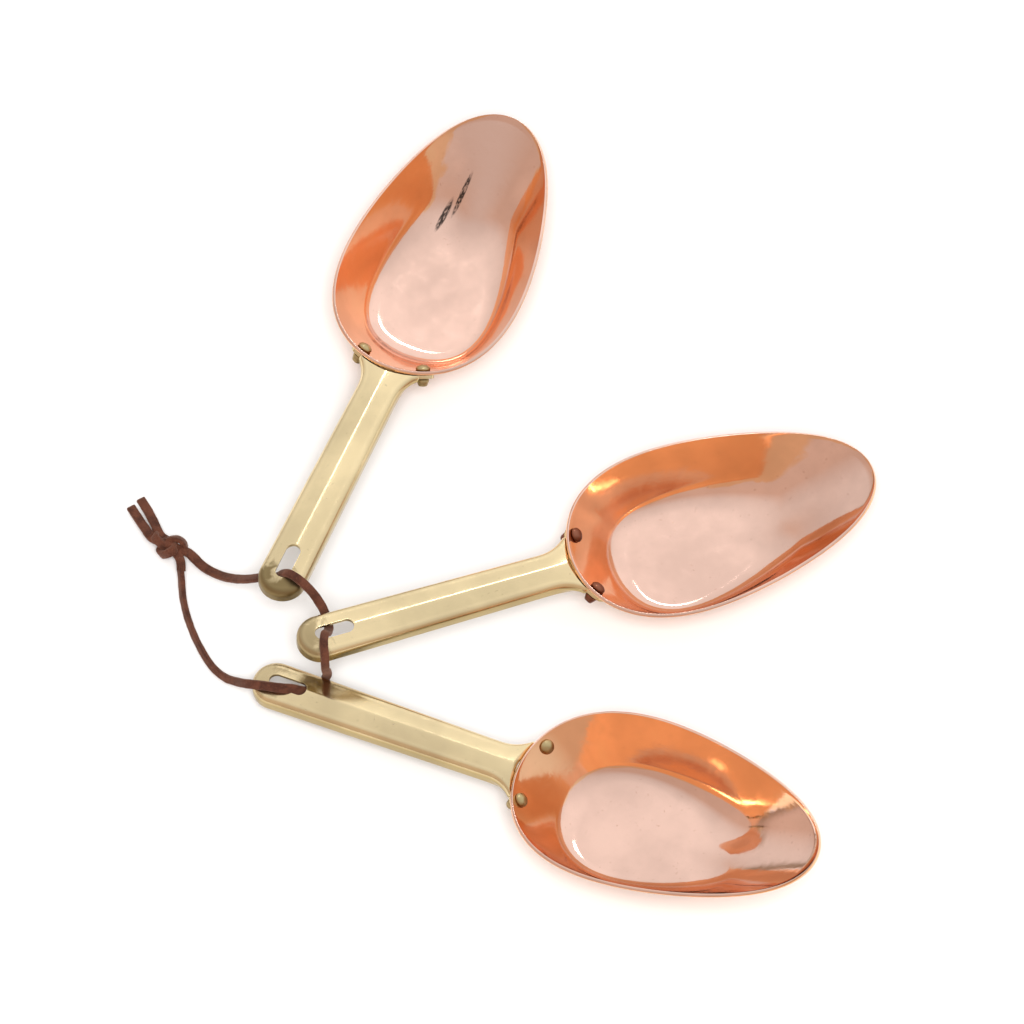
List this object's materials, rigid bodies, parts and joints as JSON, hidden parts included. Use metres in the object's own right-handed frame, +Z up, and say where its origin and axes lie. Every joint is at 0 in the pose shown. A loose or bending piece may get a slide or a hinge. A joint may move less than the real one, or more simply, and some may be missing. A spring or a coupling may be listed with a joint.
{
  "type": "measuring scoop set",
  "caption": "Copper scoops with egg-shaped bowls and slotted brass channel handles, riveted at the heel, fanned out flat and tied together by a knotted leather lace through the slots.",
  "frame": {"origin": "on the table surface, under the middle of the box round the scoops", "axes": "+Z up; +Y towards the tip of the first scoop's side of the fan; the bowls fan out towards +X and the lace's knot is on the -X side"},
  "size_m": [0.2426, 0.2932, 0.033],
  "materials": {
    "copper": "polished",
    "brass": "polished",
    "rivet_brass": "satin",
    "rivet_bronze": "satin",
    "leather": "matte"
  },
  "bodies": {
    "tie": {"lace_loop": "leather", "lace_knot": "leather", "lace_tail_1": "leather", "lace_tail_2": "leather"},
    "scoop_1": {"scoop_1_bowl": "copper", "scoop_1_handle": "brass", "scoop_1_rivet_left": "rivet_brass", "scoop_1_rivet_right": "rivet_brass"},
    "scoop_2": {"scoop_2_bowl": "copper", "scoop_2_handle": "brass", "scoop_2_rivet_left": "rivet_bronze", "scoop_2_rivet_right": "rivet_bronze"},
    "scoop_3": {"scoop_3_bowl": "copper", "scoop_3_handle": "brass", "scoop_3_rivet_left": "rivet_brass", "scoop_3_rivet_right": "rivet_brass"}
  },
  "joints": [
    {"name": "scoop_1_swing", "type": "hinge", "parent": "tie", "child": "scoop_1", "pos_m": [-0.0906, -0.0281, 0.0249], "axis": [0, 0, 1], "range_deg": [-9, 30]},
    {"name": "scoop_2_swing", "type": "hinge", "parent": "tie", "child": "scoop_2", "pos_m": [-0.0768, -0.0502, 0.0248], "axis": [0, 0, 1], "range_deg": [-10, 8]},
    {"name": "scoop_3_swing", "type": "hinge", "parent": "tie", "child": "scoop_3", "pos_m": [-0.0849, -0.0634, 0.0107], "axis": [0, 0, 1], "range_deg": [-5, 3]}
  ]
}
